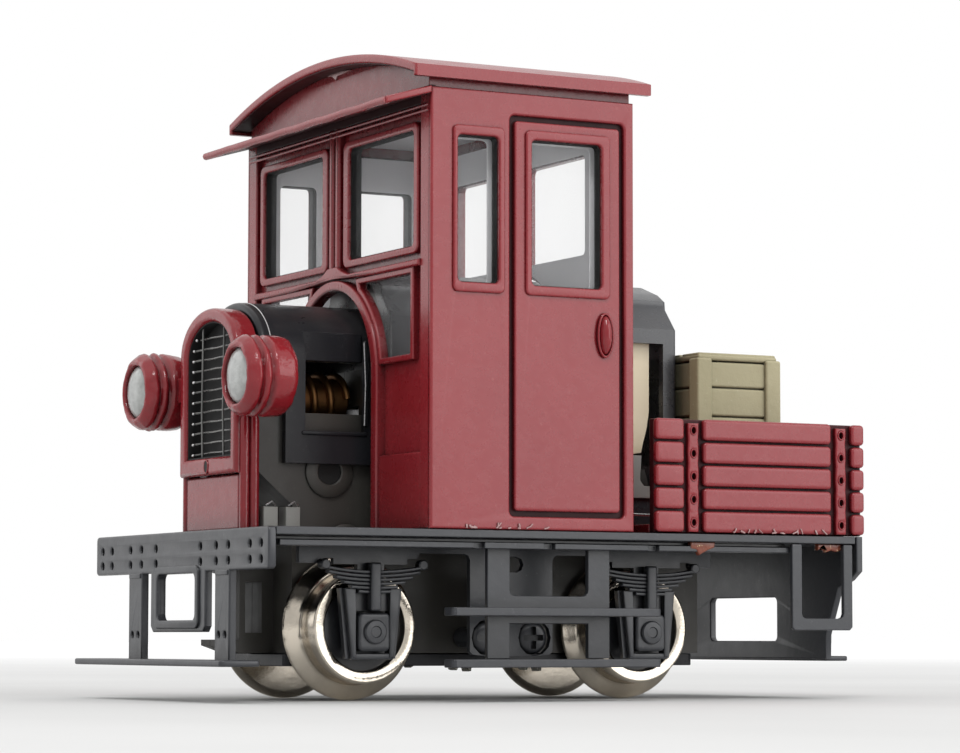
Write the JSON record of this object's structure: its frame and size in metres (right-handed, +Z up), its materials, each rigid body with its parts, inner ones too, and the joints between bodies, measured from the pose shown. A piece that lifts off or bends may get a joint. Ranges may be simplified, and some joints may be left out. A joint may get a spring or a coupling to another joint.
{
  "type": "model diesel locomotive",
  "caption": "Narrow-gauge model diesel locomotive with a boxy cab, twin round lamps, an open load bed and a geared motor drive.",
  "frame": {"origin": "on the ground plane under the lowest wheel flanges, midway along and across the model", "axes": "+X from the radiator towards the load bed, +Y towards the far side, +Z up"},
  "size_m": [0.0378, 0.0232, 0.0336],
  "materials": {
    "maroon": "satin dull maroon paint",
    "black": "satin black paint",
    "cover_black": "satin black moulding",
    "smoked_nylon": "dark grey-brown moulding",
    "nickel": "bright nickel with a warm tint",
    "steel": "plain bright steel",
    "brass": "dull brown brass",
    "white_nylon": "natural nylon",
    "ferrite": "dark grey magnet",
    "lens": "frosted pale lens",
    "clear": "clear styrene",
    "crate": "drab khaki paint"
  },
  "bodies": {
    "chassis": {"axlebox_front_far": "black", "axlebox_front_near": "black", "axlebox_rear_far": "black", "axlebox_rear_near": "black", "cab_body": "maroon", "cab_glazing": "clear", "cab_roof": "maroon", "cab_visor": "maroon", "case_screw_1": "black", "case_screw_2": "black", "crate": "crate", "crate_lid": "crate", "footplate": "black", "gear_case_far": "smoked_nylon", "gear_case_near": "smoked_nylon", "headlamp_far": "maroon", "headlamp_near": "maroon", "headstock_front": "black", "headstock_rear": "black", "keeper_plate": "cover_black", "lamp_lens_far": "lens", "lamp_lens_near": "lens", "load_bed": "maroon", "motor_can": "steel", "motor_cover": "cover_black", "motor_end_cap": "cover_black", "motor_magnet_far": "ferrite", "motor_magnet_near": "ferrite", "radiator_base": "maroon", "radiator_grille": "black", "radiator_shell": "maroon", "rear_step_far": "black", "rear_step_near": "black", "side_frame_far": "black", "side_frame_near": "black", "sole_bar_far": "black", "sole_bar_near": "black", "spring_front_far": "black", "spring_front_near": "black", "spring_rear_far": "black", "spring_rear_near": "black", "step_board_lower_far": "black", "step_board_lower_near": "black", "step_board_upper_far": "black", "step_board_upper_near": "black", "step_frame_far": "black", "step_frame_near": "black"},
    "axle_front": {"axle_front": "steel", "wheel_front_near": "nickel", "wheel_front_far": "nickel"},
    "axle_rear": {"axle_rear": "steel", "wheel_rear_near": "nickel", "wheel_rear_far": "nickel"},
    "idler_chain_1": {"idler_chain_1": "white_nylon"},
    "idler_chain_2": {"idler_chain_2": "white_nylon"},
    "idler_chain_3": {"idler_chain_3": "white_nylon"},
    "idler_upper": {"idler_upper": "white_nylon"},
    "worm_gear": {"worm_gear": "white_nylon"},
    "rotor": {"motor_rotor": "steel", "worm": "brass"}
  },
  "joints": [
    {"name": "motor_spin", "type": "hinge", "parent": "chassis", "child": "rotor", "pos_m": [0, 0, 0.01566], "axis": [1, 0, 0], "continuous": true},
    {"name": "worm_gear_spin", "type": "hinge", "parent": "chassis", "child": "worm_gear", "pos_m": [-0.01012, 0, 0.01186], "axis": [0, 1, 0], "continuous": true},
    {"name": "idler_upper_spin", "type": "hinge", "parent": "chassis", "child": "idler_upper", "pos_m": [-0.00914, 0, 0.00793], "axis": [0, 1, 0], "continuous": true},
    {"name": "axle_front_spin", "type": "hinge", "parent": "chassis", "child": "axle_front", "pos_m": [-0.00914, 0, 0.00373], "axis": [0, 1, 0], "continuous": true},
    {"name": "idler_chain_1_spin", "type": "hinge", "parent": "chassis", "child": "idler_chain_1", "pos_m": [-0.00526, 0, 0.00373], "axis": [0, 1, 0], "continuous": true},
    {"name": "idler_chain_2_spin", "type": "hinge", "parent": "chassis", "child": "idler_chain_2", "pos_m": [-0.00102, 0, 0.00373], "axis": [0, 1, 0], "continuous": true},
    {"name": "idler_chain_3_spin", "type": "hinge", "parent": "chassis", "child": "idler_chain_3", "pos_m": [0.00324, 0, 0.00373], "axis": [0, 1, 0], "continuous": true},
    {"name": "axle_rear_spin", "type": "hinge", "parent": "chassis", "child": "axle_rear", "pos_m": [0.00711, 0, 0.00373], "axis": [0, 1, 0], "continuous": true}
  ],
  "couplings": [
    {"joint": "worm_gear_spin", "follows": "motor_spin", "ratio": -0.0625},
    {"joint": "idler_upper_spin", "follows": "motor_spin", "ratio": 0.042969},
    {"joint": "axle_front_spin", "follows": "motor_spin", "ratio": -0.057292},
    {"joint": "idler_chain_1_spin", "follows": "motor_spin", "ratio": 0.047181},
    {"joint": "idler_chain_2_spin", "follows": "motor_spin", "ratio": -0.047181},
    {"joint": "idler_chain_3_spin", "follows": "motor_spin", "ratio": 0.047181},
    {"joint": "axle_rear_spin", "follows": "motor_spin", "ratio": -0.057292}
  ]
}
